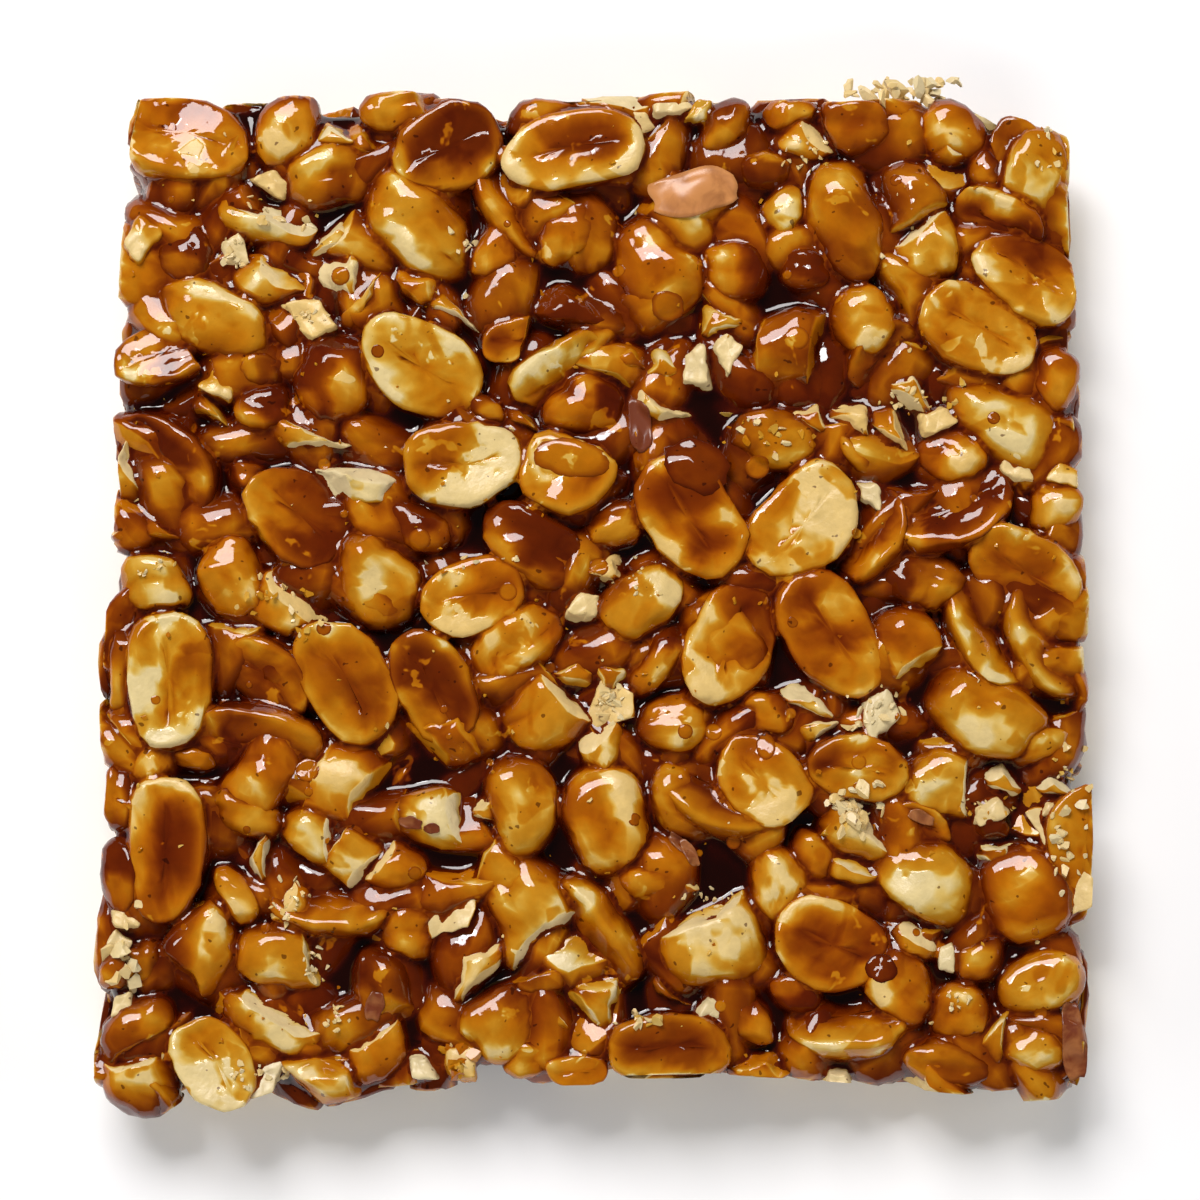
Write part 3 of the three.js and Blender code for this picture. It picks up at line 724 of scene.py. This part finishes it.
filmDepthAndShade = {
    "contact": 1.8,    # mm of syrup colour added to a nut where it goes into the syrup
    "start": 0.8,      # mm of colour where the syrup leaves a nut
    "probe": 0.8,      # mm out from a nut at which the room round it is felt
    "room": 0.98,      # mm of room there on an open crown
    "slope": 0.9,      # extra share of a nut's film on steep sides: partly syrup running down, partly painted shade on the sides that leaves the crowns lighter
    "rimFaceFurrow": (0.7, 1.3, 1.7),  # shares on the rim, the face and the furrow of an open half
    "perDepth": 6.0,   # colour for each mm of syrup over a nut
    "low": 0.5, "from": 9.8,  # painted shade: extra colour for each mm below this height, darkening the low places between the nuts
    "flow": [(-0.42, 0.2), (-0.25, 0.9), (0.15, 1.25), (0.4, 1.6)],  # noise, share of a nut's film
    "flowScale": 0.14,
    "most": 5.0, "mostOnNuts": 2.0, "underFoot": 1.9,
    "breakClear": 0.88,  # share of the syrup that breaks keep off
}


def flowAt(x, y, settings):
    # thick and thin syrup in patches that run on from nut to nut; x and y in mm
    broad = noise.noise(Vector((x * settings["flowScale"], y * settings["flowScale"], 5.7)))
    fine = noise.noise(Vector((x * settings["flowScale"] * 2.4, y * settings["flowScale"] * 2.4, 1.3)))
    return np.interp(broad + 0.45 * fine, *zip(*settings["flow"]))


def gradeSyrup(syrup, nuts, settings):
    # how much syrup lies over the nuts at each point of the syrup, plus painted shade that colours the
    # syrup darker the lower it lies
    tree = treeOf(nuts)
    points = pointsOf(syrup.data)
    # painted shade: the lower the syrup lies, the more colour it gets, darker down between the nuts
    film = settings["start"] + settings["low"] * np.clip(settings["from"] - points[:, 2] / mm, 0, 5)
    for index, point in enumerate(points):
        place, normal, face, distance = tree.find_nearest(Vector(point))
        if (Vector(point) - place).dot(normal) > 0:
            film[index] += settings["perDepth"] * distance / mm
    film[points[:, 2] < (syrupShape["foot"] + 0.001) * mm] = settings["underFoot"]
    setAttribute(syrup.data, "film", np.minimum(film, settings["most"]))
    setAttribute(syrup.data, "bare", np.zeros(len(points)))
    setAttribute(syrup.data, "tone", np.full(len(points), 0.5))


def gradeNuts(piece, syrupTree, settings):
    # thin syrup on the crowns, more down the sides, in the hollows and where things lie close; the extra on
    # the sides is partly painted shade, and painted shade also makes the nuts darker the lower they lie
    points, normals = pointsOf(piece.data), normalsOf(piece.data)
    film, bare, well = (getAttribute(piece.data, name) for name in ("film", "bare", "well"))
    steep = np.clip(1 - normals[:, 2], 0, 1)
    face = np.ones(len(points))
    if piece.name == "openHalves":
        face = np.interp(well, (0, 0.5, 1), settings["rimFaceFurrow"])
    film *= [flowAt(x, y, settings) for x, y in points[:, :2] / mm]
    # steep sides get more film: partly syrup running down, partly painted shade that leaves the crowns
    # lighter
    graded = film * face + film * settings["slope"] * steep ** 1.3
    # painted shade: the lower a point of a nut lies, the more colour it gets
    graded += settings["low"] * np.clip(settings["from"] - points[:, 2] / mm, 0, 5)
    probes = points + normals * settings["probe"] * mm
    for index, probe in enumerate(probes):
        at = Vector(probe)
        place, normal, face, distance = syrupTree.find_nearest(at)
        covered = (at - place).dot(normal) < 0
        close = 1 if covered else max(0, 1 - distance / mm / settings["room"])
        graded[index] += settings["contact"] * close ** 1.2
    graded = np.minimum(graded, settings["mostOnNuts"]) * (1 - settings["breakClear"] * bare)
    setAttribute(piece.data, "film", graded)


gradeSyrup(syrup, nutPieces, filmDepthAndShade)
syrupTree = treeOf([syrup])
for piece in nutPieces:
    gradeNuts(piece, syrupTree, filmDepthAndShade)
print("syrup depth graded")


# the small things that lie on top: crumbs, drops of syrup and flakes of skin

def surfaceAt(tree, x, y):
    # height in mm of whatever lies at a place of the layout, or nothing beside the slab
    start = Vector(((x + layoutShift[0]) * mm, (y + layoutShift[1]) * mm, 0.05))
    place = tree.ray_cast(start, Vector((0, 0, -1)))[0]
    return None if place is None else place.z / mm


crumbShape = {"variants": 9, "rough": 0.6, "facets": 5, "facetFrom": (0.10, 0.34)}


def makeCrumb(number, settings):
    # a small rough bit of nut with a few flat breaks
    rng = random.Random(number)
    deselectAll()
    bpy.ops.mesh.primitive_ico_sphere_add(subdivisions=2, radius=0.5)
    crumb = bpy.context.object
    crumb.name = f"crumb{number}"
    start = Vector((number * 7.3, 1.9, 4.4))
    points = pointsOf(crumb.data)
    for index, point in enumerate(points):
        points[index] = point * (1 + settings["rough"] * noise.noise(Vector(point) * 3.1 + start))
    setPoints(crumb.data, points)
    editMode()
    for _ in range(settings["facets"]):
        way = Vector((rng.uniform(-1, 1), rng.uniform(-1, 1), rng.uniform(-1, 1))).normalized()
        bpy.ops.mesh.select_all(action="SELECT")
        bpy.ops.mesh.bisect(plane_co=way * rng.uniform(*settings["facetFrom"]), plane_no=way,
                            clear_outer=True, use_fill=True)
    editMode(False)
    setAttribute(crumb.data, "bare", np.ones(len(crumb.data.vertices)))
    setAttribute(crumb.data, "well", np.zeros(len(crumb.data.vertices)))
    return crumb


# where crumbs gather: middle x and y, reach along x and y, how many, sizes in mm, syrup on them
crumbPatches = [
    (32.4, 52.2, 5.0, 1.3, 30, (1.0, 3.0), 0.04), (-34.6, 38.8, 4.5, 1.8, 12, (0.5, 1.5), 0.10),
    (-13.7, 35.6, 1.2, 1.6, 8, (0.4, 1.0), 0.03), (-31.4, -1.4, 3.6, 2.6, 16, (0.5, 1.4), 0.15),
    (18, 16.2, 4.0, 2.2, 16, (0.5, 1.4), 0.15), (25.8, -22.7, 2.8, 2.2, 34, (0.7, 2.6), 0.02),
    (28.6, -12.6, 2.6, 2.2, 16, (0.5, 1.6), 0.05), (-48.4, -38, 1.4, 5.0, 14, (0.8, 2.4), 0.05),
    (36.6, -42.2, 1.2, 1.2, 9, (0.4, 0.9), 0.03), (-14, -48.4, 1.8, 1.8, 18, (0.6, 1.8), 0.30),
    (-31.5, -32, 1.8, 2.4, 18, (0.4, 1.0), 0.08), (-34.4, -49.4, 3.0, 1.0, 16, (0.5, 1.1), 0.06),
    (-28.4, -37.8, 1.2, 2.0, 14, (0.4, 0.9), 0.05), (-26.6, -43.8, 1.2, 1.6, 14, (0.4, 0.9), 0.05),
    (0.8, -11.8, 1.5, 1.8, 20, (0.5, 1.7), 0.02), (47.2, -27, 2.2, 3.4, 18, (0.6, 1.9), 0.05),
    (48.4, -18.5, 1.4, 3.0, 18, (0.5, 1.4), 0.10), (39.8, -22.4, 2.4, 1.2, 16, (0.4, 0.9), 0.15),
    (5.2, -43.9, 2.2, 0.6, 9, (0.6, 1.7), 0.12), (10.6, -31.8, 3.4, 1.0, 14, (0.3, 0.8), 0.08),
    (21.4, 45.2, 2.4, 1.6, 20, (0.4, 0.9), 0.10), (-45.4, 2.5, 2.0, 1.2, 14, (0.3, 0.8), 0.12),
    (-12.9, 2.6, 4.0, 0.9, 10, (0.4, 1.2), 0.08), (33.6, 19.8, 4.6, 1.4, 16, (0.4, 1.1), 0.10),
    (3.4, 1.2, 1.5, 2.2, 12, (0.3, 0.9), 0.03), (-29.5, 28.2, 2.0, 1.6, 12, (0.3, 0.8), 0.05),
    (47, 46.6, 1.6, 3.0, 14, (0.4, 1.1), 0.08), (-37.6, 35.2, 2.0, 2.2, 14, (0.4, 1.1), 0.06),
    (0, 0, 48, 48, 200, (0.25, 0.8), 0.25),
]


crumbLaying = {
    "seed": 21,
    "spread": 0.6, "most": 1.2,  # shares of a patch's reach
    "loosePatch": 40,            # a patch with more reach than this is strewn evenly
    "lowest": 3, "backEdge": 50, "edgeHeights": (4.5, 8.5),  # mm; some cling to the back edge
    "grow": 1.15, "sink": 0.12,
}


def scatterCrumbs(heap, tree, patches, crumbs, settings):
    rng = random.Random(settings["seed"])
    most, spread = settings["most"], settings["spread"]
    for x, y, reachX, reachY, count, sizes, film in patches:
        for _ in range(count):
            atX = x + max(-most, min(most, rng.gauss(0, spread))) * reachX
            atY = y + max(-most, min(most, rng.gauss(0, spread))) * reachY
            if reachX > settings["loosePatch"]:
                atX, atY = rng.uniform(-reachX, reachX), rng.uniform(-reachY, reachY)
            height = surfaceAt(tree, atX, atY)
            if height is None or height < settings["lowest"]:
                if y < settings["backEdge"]:
                    continue
                height = rng.uniform(*settings["edgeHeights"])
            size = settings["grow"] * (sizes[0] + (sizes[1] - sizes[0]) * rng.random() ** 1.4)
            shape = rng.choice(crumbs)
            width, depth = rng.uniform(0.4, 0.9), rng.uniform(0.25, 0.6)
            points = pointsOf(shape.data) * (size, size * width, size * depth)
            pose = Euler((rng.uniform(-0.5, 0.5), rng.uniform(-0.5, 0.5), rng.uniform(0, 6.28))).to_matrix()
            points = points @ np.array(pose).T
            points += (atX + layoutShift[0], atY + layoutShift[1], height + settings["sink"] * size)
            heap.add(shape, points, film * rng.uniform(0.4, 3), rng.uniform(0, 0.8))
            heap.bare[-1] = heap.bare[-1] * rng.choice((1, 1, 0.5) if film < 0.2 else (0, 0.4, 1))


# drops of syrup: x, y, length, width, turn, bulge in mm, depth of colour
syrupDrops = [
    (-2.6, 13.4, 8.0, 4.0, -8, 0.35, 0.7), (10.2, 12.6, 7.2, 5.6, -30, 0.55, 1.6),
    (7.3, 29.3, 3.4, 3.2, 0, 0.25, 0.9), (20.5, 25.7, 2.6, 2.5, 0, 0.18, 0.8),
    (-26.5, 32.4, 2.0, 2.0, 0, 0.15, 0.8), (0.2, 2.2, 2.0, 2.0, 0, 0.15, 0.8),
    (-9.1, -0.4, 1.9, 1.9, 0, 0.15, 0.8), (16.5, 12.6, 2.6, 2.4, 0, 0.18, 0.8),
    (-18.2, 5.0, 2.4, 2.3, 0, 0.15, 0.9), (-29.5, -18.6, 2.5, 2.4, 0, 0.18, 0.8),
    (-29.4, -20.8, 1.0, 1.0, 0, 0.10, 0.8), (17.2, -16.2, 2.0, 2.8, 0, 0.18, 0.9),
    (28.8, -38.7, 3.2, 3.0, 0, 0.30, 1.8), (19.8, -12.8, 1.2, 1.2, 0, 0.10, 0.8),
    (9.0, -14.7, 1.6, 1.6, 0, 0.12, 0.8), (11.9, -14.7, 1.8, 1.8, 0, 0.12, 0.8),
]
dropShape = {
    "segments": 20, "rings": 12,
    "edge": 0.75, "edgeExtra": 0.6,  # where its darker edge begins, and how much darker
    "wobble": 0.16, "wobbleFrom": 3, "mostFall": 1.1, "sink": 0.02,  # mm but for the share of wobble
    "seed": 31, "loose": 36, "looseSize": (0.7, 1.6), "looseReach": 46,
}


def makeDrops(tree, rows, settings):
    rng = random.Random(settings["seed"])
    rows = list(rows)
    reach = settings["looseReach"]
    for _ in range(settings["loose"]):
        size = rng.uniform(*settings["looseSize"])
        x, y = rng.uniform(-reach, reach), rng.uniform(-reach, reach)
        rows.append((x, y, size, size, 0, 0.1, rng.uniform(0.6, 1.2)))
    made = []
    for x, y, length, width, turn, bulge, film in rows:
        deselectAll()
        bpy.ops.mesh.primitive_uv_sphere_add(
            segments=settings["segments"], ring_count=settings["rings"], radius=0.5)
        drop = bpy.context.object
        flat = pointsOf(drop.data)
        reach = np.hypot(flat[:, 0], flat[:, 1]) * 2
        points = flat * (length, width, 2 * bulge)
        pose = np.array(Euler((0, 0, math.radians(turn))).to_matrix())
        points = points @ pose.T
        heights = []
        for point in points:
            if length > settings["wobbleFrom"]:
                wobble = 1 + settings["wobble"] * noise.noise(Vector((point[0], point[1], x)))
                point[:2] = point[:2] * wobble
            point[:2] += (x, y)
            heights.append(surfaceAt(tree, point[0], point[1]) or 0)
        heights = np.array(heights)
        points[:, 2] += np.maximum(heights, heights.max() - settings["mostFall"]) - settings["sink"]
        points[:, :2] += layoutShift
        setPoints(drop.data, points * mm)
        edge = np.clip((reach - settings["edge"]) / (1 - settings["edge"]), 0, 1)
        setAttribute(drop.data, "film", film + settings["edgeExtra"] * edge)
        setAttribute(drop.data, "bare", np.zeros(len(points)))
        setAttribute(drop.data, "tone", np.full(len(points), 0.4))
        setAttribute(drop.data, "well", np.zeros(len(points)))
        made.append(drop)
    return joinAll(made, "syrupDrops")


def joinAll(pieces, name):
    deselectAll()
    for piece in pieces:
        piece.select_set(True)
    bpy.context.view_layer.objects.active = pieces[0]
    bpy.ops.object.join()
    pieces[0].name = name
    smoothShade(pieces[0])
    return pieces[0]


# flakes of the nuts' brown skin: x, y, length, width, turn, darkness
skinFlakes = [
    (10.2, 41.2, 8.8, 5.0, 8, 0.1), (-22.5, -42.5, 3.0, 1.8, 80, 0.9), (-19.0, -24.0, 2.2, 1.2, -10, 0.9),
    (-16.8, -24.6, 1.6, 1.0, 0, 0.9), (48.3, -46.0, 7.0, 2.6, 95, 0.8), (9.5, -27.0, 3.0, 1.2, -60, 0.6),
    (8.4, -26.0, 2.6, 1.0, -40, 0.7), (4.4, 16.8, 5.4, 2.4, 100, 1.0), (33.0, -23.4, 2.6, 1.2, -20, 0.5),
]
flakeShape = {
    "along": 14, "across": 9, "pointed": 1.7, "rough": 0.22,
    "lift": 0.12, "thick": 0.12, "curl": 0.15, "mostFall": 0.9,  # mm
}


def makeFlakes(tree, rows, settings):
    made = []
    for number, (x, y, length, width, turn, darkness) in enumerate(rows):
        deselectAll()
        bpy.ops.mesh.primitive_grid_add(
            x_subdivisions=settings["along"], y_subdivisions=settings["across"], size=1)
        flake = bpy.context.object
        points = pointsOf(flake.data)
        points[:, 1] *= np.sqrt(np.clip(1 - (settings["pointed"] * points[:, 0]) ** 2, 0.08, 1))
        start = Vector((number * 5.1, 2.2, 8.8))
        for index, point in enumerate(points):
            rough = settings["rough"] * noise.noise(Vector(point) * 2.5 + start)
            points[index] = Vector(point) * (1 + rough)
        reach = np.abs(points[:, 1]) * 2
        points = points * (length, width, 0)
        pose = np.array(Euler((0, 0, math.radians(turn))).to_matrix())
        points = points @ pose.T + (x, y, 0)
        heights = np.array([surfaceAt(tree, point[0], point[1]) or 0 for point in points])
        points[:, 2] = np.maximum(heights, heights.max() - settings["mostFall"])
        points[:, 2] += settings["lift"] + settings["curl"] * reach ** 3
        points[:, :2] += layoutShift
        setPoints(flake.data, points * mm)
        thick = flake.modifiers.new("thick", "SOLIDIFY")
        thick.thickness = settings["thick"] * mm
        bpy.ops.object.modifier_apply(modifier=thick.name)
        setAttribute(flake.data, "tone", np.full(len(flake.data.vertices), darkness))
        made.append(flake)
    return joinAll(made, "skinFlakes")


topTree = treeOf(nutPieces + [syrup])
crumbs = [makeCrumb(number, crumbShape) for number in range(crumbShape["variants"])]
crumbHeap = NutHeap("crumbs")
scatterCrumbs(crumbHeap, topTree, crumbPatches, crumbs, crumbLaying)
crumbPiece = crumbHeap.build(smooth=False)
dropPiece = makeDrops(topTree, syrupDrops, dropShape)
flakePiece = makeFlakes(topTree, skinFlakes, flakeShape)
for crumb in crumbs:
    bpy.data.objects.remove(crumb)
print("crumbs, drops and flakes laid")


# materials

finishes = {
    "cream": (0.73, 0.63, 0.405),
    "brokenPale": (0.72, 0.65, 0.50),
    "brokenWarm": (0.76, 0.57, 0.27),
    "roasted": (0.73, 0.53, 0.225),
    "amber": (0.55, 0.206, 0.0045),   # what the first mm of syrup lets through
    "syrup": (0.33, 0.155, 0.10),     # what each mm below that lets through
    "wetFrom": (0.18, 0.43), "wetTo": (0.08, 0.66),  # mm, and what they become
    "deep": (0.008, 0.0012, 0.0003),  # what comes back from a deep pool
    "gloss": 0.045,
    "dry": 0.55,
}


class Nodes:
    # short names for adding and wiring shader nodes
    def __init__(self, name):
        self.material = bpy.data.materials.new(name)
        self.material.use_nodes = True
        self.tree = self.material.node_tree
        self.shader = self.tree.nodes["Principled BSDF"]

    def add(self, kind, **inputs):
        node = self.tree.nodes.new(kind)
        for key, value in inputs.items():
            setattr(node, key, value)
        return node

    def wire(self, source, target):
        self.tree.links.new(source, target)

    def value(self, operation, first, second=None, third=None):
        node = self.add("ShaderNodeMath", operation=operation)
        for slot, item in enumerate((first, second, third)):
            if item is None:
                continue
            if isinstance(item, (int, float)):
                node.inputs[slot].default_value = item
            else:
                self.wire(item, node.inputs[slot])
        return node.outputs[0]

    def above(self, source, level):
        return self.value("MAXIMUM", self.value("SUBTRACT", source, level), 0)

    def mapped(self, source, low, high, toLow, toHigh, smooth=False):
        node = self.add("ShaderNodeMapRange", interpolation_type="SMOOTHSTEP" if smooth else "LINEAR")
        self.wire(source, node.inputs["Value"])
        for name, amount in (("From Min", low), ("From Max", high), ("To Min", toLow), ("To Max", toHigh)):
            node.inputs[name].default_value = amount
        return node.outputs["Result"]

    def noise(self, scale, detail=2.0, rough=0.5, distortion=0.0):
        node = self.add("ShaderNodeTexNoise")
        node.inputs["Scale"].default_value = scale
        node.inputs["Detail"].default_value = detail
        node.inputs["Roughness"].default_value = rough
        node.inputs["Distortion"].default_value = distortion
        self.wire(self.place, node.inputs["Vector"])
        return node.outputs["Fac"]

    def attribute(self, name):
        return self.add("ShaderNodeAttribute", attribute_name=name).outputs["Fac"]

    def tint(self, colour, depth):
        # what is left of white light behind so much of a clear colour
        node = self.add("ShaderNodeGamma")
        node.inputs["Color"].default_value = (*colour, 1)
        self.wire(depth, node.inputs["Gamma"])
        return node.outputs["Color"]

    def blend(self, mode, amount, first, second):
        node = self.add("ShaderNodeMix", data_type="RGBA", blend_type=mode)
        for slot, item in ((0, amount), (6, first), (7, second)):
            if isinstance(item, (int, float)):
                node.inputs[slot].default_value = item
            elif isinstance(item, tuple):
                node.inputs[slot].default_value = (*item, 1)
            else:
                self.wire(item, node.inputs[slot])
        return node.outputs[2]


def makeCandyNut(name, settings, flow=1.0):
    # nut colour seen through a film of amber syrup whose thickness comes from the mesh; that thickness also
    # holds painted shade, darker low down and on steep sides
    nodes = Nodes(name)
    nodes.place = nodes.add("ShaderNodeTexCoord").outputs["Object"]
    film, bare, tone = (nodes.attribute(key) for key in ("film", "bare", "tone"))
    drift = nodes.mapped(nodes.noise(190, 2, 0.5, 0.4), 0.3, 0.7, -0.14 * flow, 0.20 * flow)
    patch = nodes.mapped(nodes.noise(210, 2, 0.45, 0.5), 0.55, 0.63, 0, 0.22 * flow, True)
    scraped = nodes.mapped(nodes.noise(240, 3, 0.6, 0.3), 0.64, 0.68, 1, 0.4, True)
    covered = nodes.value("SUBTRACT", 1, bare)
    loose = nodes.value("MULTIPLY", nodes.value("ADD", drift, patch), covered)
    depth = nodes.value("ADD", nodes.value("MULTIPLY", film, scraped), loose)
    # thin syrup ends in a clear edge where it stops short of the dry nut
    edge = nodes.mapped(depth, *settings["wetFrom"], *settings["wetTo"], True)
    depth = nodes.value("ADD", edge, nodes.above(depth, settings["wetFrom"][1]))
    thin = nodes.tint(settings["amber"], nodes.value("MINIMUM", depth, 1))
    thick = nodes.tint(settings["syrup"], nodes.above(depth, 1))
    nut = nodes.blend("MIX", tone, settings["cream"], settings["roasted"])
    broken = nodes.blend("MIX", tone, settings["brokenPale"], settings["brokenWarm"])
    nut = nodes.blend("MIX", bare, nut, broken)
    mottled = nodes.mapped(nodes.noise(620, 3, 0.6), 0.3, 0.7, 0.88, 1.06)
    nut = nodes.blend("MULTIPLY", 1.0, nut, mottled)
    specks = nodes.mapped(nodes.noise(1150, 1, 0.4), 0.735, 0.76, 0, 0.75, True)
    nut = nodes.blend("MIX", specks, nut, (0.10, 0.035, 0.012))
    colour = nodes.blend("MULTIPLY", 1.0, nodes.blend("MULTIPLY", 1.0, nut, thin), thick)
    colour = nodes.blend("ADD", 1.0, colour, settings["deep"])
    nodes.wire(colour, nodes.shader.inputs["Base Color"])
    gloss = nodes.mapped(depth, 0.03, 0.16, settings["dry"], settings["gloss"], True)
    nodes.wire(gloss, nodes.shader.inputs["Roughness"])
    bump = nodes.add("ShaderNodeBump")
    bump.inputs["Strength"].default_value = 0.3
    bump.inputs["Distance"].default_value = 0.0004
    grain = nodes.value("MULTIPLY", nodes.noise(1500, 2, 0.6), nodes.mapped(depth, 0.03, 0.3, 0.8, 0.02))
    ripple = nodes.value("ADD", nodes.noise(330, 2, 0.5), grain)
    nodes.wire(ripple, bump.inputs["Height"])
    nodes.wire(bump.outputs["Normal"], nodes.shader.inputs["Normal"])
    nodes.shader.inputs["IOR"].default_value = 1.5
    return nodes.material


skinLook = {"pale": (0.56, 0.235, 0.075), "dark": (0.16, 0.035, 0.012), "gloss": 0.3}


def makeSkin(name, settings):
    nodes = Nodes(name)
    nodes.place = nodes.add("ShaderNodeTexCoord").outputs["Object"]
    blotch = nodes.mapped(nodes.noise(420, 3, 0.6, 0.5), 0.35, 0.65, -0.2, 0.3)
    blotch = nodes.value("ADD", nodes.attribute("tone"), blotch)
    colour = nodes.blend("MIX", blotch, settings["pale"], settings["dark"])
    nodes.wire(colour, nodes.shader.inputs["Base Color"])
    nodes.shader.inputs["Roughness"].default_value = settings["gloss"]
    return nodes.material


candyNut = makeCandyNut("candyNut", finishes)
candySyrup = makeCandyNut("candySyrup", finishes, flow=0.6)
syrup.data.materials.clear()
syrup.data.materials.append(candySyrup)
for piece in nutPieces:
    piece.data.materials.append(candyNut)
crumbPiece.data.materials.append(candyNut)
dropPiece.data.materials.append(candySyrup)
flakePiece.data.materials.append(makeSkin("nutSkin", skinLook))
print("materials mixed")


# floor, lights and camera

stageLook = {
    "floorSize": 3.0, "floorDrop": 0.02,  # m, mm
    "floorColour": (0.93, 0.93, 0.94),
    "world": (0.80, 0.88, 1.0), "worldStrength": 0.05,
    "window": {"power": 8.2, "size": (0.54, 0.38), "distance": 0.9, "turn": 20, "height": 47},
    "spark": {"power": 0.5, "size": (0.10, 0.07), "distance": 0.9, "turn": 28, "height": 58},
    "fills": [
        {"power": 7.0, "size": (1.2, 0.6), "distance": 1.3, "turn": 185, "height": 36, "mirrored": False},
        {"power": 5.0, "size": (1.2, 0.5), "distance": 1.3, "turn": 95, "height": 22, "mirrored": False},
        {"power": 5.0, "size": (1.2, 0.5), "distance": 1.3, "turn": -85, "height": 22, "mirrored": False},
    ],
}


def makeFloor(settings):
    deselectAll()
    floorHeight = lowCorner.z - settings["floorDrop"] * mm
    bpy.ops.mesh.primitive_plane_add(size=settings["floorSize"], location=(0, 0, floorHeight))
    floor = bpy.context.object
    floor.name = "floor"
    material = bpy.data.materials.new("paleFloor")
    material.use_nodes = True
    shader = material.node_tree.nodes["Principled BSDF"]
    shader.inputs["Base Color"].default_value = (*settings["floorColour"], 1)
    shader.inputs["Roughness"].default_value = 0.9
    shader.inputs["Specular IOR Level"].default_value = 0.1
    floor.data.materials.append(material)
    return floor


def makeLight(name, settings, colour):
    # an area light on a sphere round the slab, turned anticlockwise from the back edge
    turn, height = math.radians(settings["turn"]), math.radians(settings["height"])
    way = Vector((-math.sin(turn) * math.cos(height), math.cos(turn) * math.cos(height), math.sin(height)))
    light = bpy.data.objects.new(name, bpy.data.lights.new(name, "AREA"))
    light.data.shape = "RECTANGLE"
    light.data.size, light.data.size_y = settings["size"]
    light.data.energy = settings["power"]
    light.data.color = colour
    light.visible_glossy = settings.get("mirrored", True)
    light.location = way * settings["distance"]
    light.rotation_euler = way.to_track_quat("Z", "Y").to_euler()
    bpy.context.scene.collection.objects.link(light)
    return light


floor = makeFloor(stageLook)
makeLight("window", stageLook["window"], (1.0, 0.97, 0.965))
makeLight("spark", stageLook["spark"], (1.0, 1.0, 1.0))
for fill in stageLook["fills"]:
    makeLight("fill", fill, (1.0, 0.99, 0.97))
world = bpy.data.worlds.new("room")
world.use_nodes = True
world.node_tree.nodes["Background"].inputs["Color"].default_value = (*stageLook["world"], 1)
world.node_tree.nodes["Background"].inputs["Strength"].default_value = stageLook["worldStrength"]
bpy.context.scene.world = world
bpy.context.scene.view_settings.view_transform = "Standard"

cameraView = {"aim": (0.3, -1.3, 10.5), "distance": 340, "tilt": 5, "lens": 99.96}  # mm and degrees


def makeCamera(settings):
    tilt = math.radians(settings["tilt"])
    aim = Vector(settings["aim"]) + Vector((*layoutShift, 0))
    back = Vector((0, -math.sin(tilt), math.cos(tilt)))
    camera = bpy.data.objects.new("camera", bpy.data.cameras.new("camera"))
    camera.data.lens = settings["lens"]
    camera.data.clip_start = 0.01
    camera.location = (aim + back * settings["distance"]) * mm
    camera.rotation_euler = (tilt, 0, 0)
    bpy.context.scene.collection.objects.link(camera)
    bpy.context.scene.camera = camera


makeCamera(cameraView)

# what stands for what
for shape in shapes.values():
    bpy.data.objects.remove(shape)
floor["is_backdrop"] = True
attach(syrup, "root")
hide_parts(slabNode)
slots = [(piece, "peanut") for piece in nutPieces]
slots += [(crumbPiece, "broken_nut"), (dropPiece, "brittle"), (flakePiece, "skin")]
for piece, slotName in slots:
    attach(piece, "root")

boxes = {"cad": cadBounds, "visual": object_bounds()}
{name: [list(corner) for corner in box] for name, box in boxes.items()}
